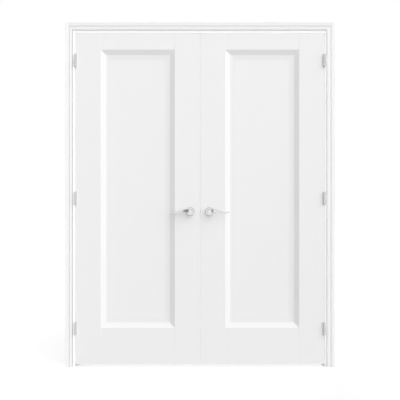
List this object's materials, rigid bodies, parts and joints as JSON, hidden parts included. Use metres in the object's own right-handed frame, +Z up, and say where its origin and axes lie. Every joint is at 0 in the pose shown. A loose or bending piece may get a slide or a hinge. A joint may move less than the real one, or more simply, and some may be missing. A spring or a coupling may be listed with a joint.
{
  "type": "french doors",
  "caption": "Solid-panel french doors in a cased timber frame: hinged leaves with mitred panel mouldings, waved lever handles, a spring latch and a head catch.",
  "frame": {"origin": "on the floor, midway between the jambs, in the plane of the jambs' front edges", "axes": "+X to the right seen from the front, +Y from front to back, +Z up; the leaves open towards -Y"},
  "size_m": [1.653, 0.1785, 2.115],
  "materials": {
    "leaf_paint": "satin white paint",
    "jamb_paint": "satin white paint",
    "casing_paint": "satin white paint",
    "hinge_nickel": "satin nickel plate",
    "handle_nickel": "satin nickel plate",
    "latch_steel": "plain bright steel"
  },
  "bodies": {
    "frame": {"jamb_left": "jamb_paint", "jamb_right": "jamb_paint", "jamb_head": "jamb_paint", "stop_left": "jamb_paint", "stop_right": "jamb_paint", "stop_head": "jamb_paint", "casing_front_left": "casing_paint", "casing_front_right": "casing_paint", "casing_front_head": "casing_paint", "casing_back_left": "casing_paint", "casing_back_right": "casing_paint", "casing_back_head": "casing_paint", "left_jamb_hinge_plates": "hinge_nickel", "right_jamb_hinge_plates": "hinge_nickel", "left_hinge_pins": "hinge_nickel", "right_hinge_pins": "hinge_nickel", "catch_strike": "latch_steel"},
    "leaf_left": {"left_hinge_stile": "leaf_paint", "left_lock_stile": "leaf_paint", "left_top_rail": "leaf_paint", "left_bottom_rail": "leaf_paint", "left_panel": "leaf_paint", "left_front_mouldings": "leaf_paint", "left_back_mouldings": "leaf_paint", "left_leaf_hinge_plates": "hinge_nickel", "left_front_rose": "handle_nickel", "left_back_rose": "handle_nickel", "left_front_lever": "handle_nickel", "left_back_lever": "handle_nickel", "left_spindle": "latch_steel", "latch_strike": "latch_steel", "catch_housing": "latch_steel"},
    "leaf_right": {"right_hinge_stile": "leaf_paint", "right_lock_stile": "leaf_paint", "right_top_rail": "leaf_paint", "right_bottom_rail": "leaf_paint", "right_panel": "leaf_paint", "right_front_mouldings": "leaf_paint", "right_back_mouldings": "leaf_paint", "right_leaf_hinge_plates": "hinge_nickel", "right_front_rose": "handle_nickel", "right_back_rose": "handle_nickel", "latch_case": "latch_steel"},
    "lever_right": {"right_front_lever": "handle_nickel", "right_back_lever": "handle_nickel", "right_spindle": "latch_steel", "latch_follower": "latch_steel"},
    "latch_bolt": {"latch_bolt": "latch_steel"},
    "catch_plunger": {"catch_plunger": "latch_steel"}
  },
  "joints": [
    {"name": "leaf_left_swing", "type": "hinge", "parent": "frame", "child": "leaf_left", "pos_m": [-0.7645, -0.0078, 1.038], "axis": [0, 0, -1], "range_deg": [0, 165]},
    {"name": "leaf_right_swing", "type": "hinge", "parent": "frame", "child": "leaf_right", "pos_m": [0.7645, -0.0078, 1.038], "axis": [0, 0, 1], "range_deg": [0, 165]},
    {"name": "lever_right_turn", "type": "hinge", "parent": "leaf_right", "child": "lever_right", "pos_m": [0.0585, 0.0175, 0.955], "axis": [0, 1, 0], "range_deg": [0, 45], "stiffness_Nm_per_rad": 1, "springref_deg": -34.38},
    {"name": "latch_bolt_slide", "type": "slide", "parent": "leaf_right", "child": "latch_bolt", "axis": [1, 0, 0], "range_m": [0, 0.011]},
    {"name": "catch_plunger_slide", "type": "slide", "parent": "leaf_left", "child": "catch_plunger", "axis": [0, 0, -1], "range_m": [0, 0.0036], "stiffness_N_per_m": 300, "springref_m": -0.005}
  ],
  "couplings": [
    {"joint": "latch_bolt_slide", "follows": "lever_right_turn", "m_per_rad": 0.014}
  ]
}
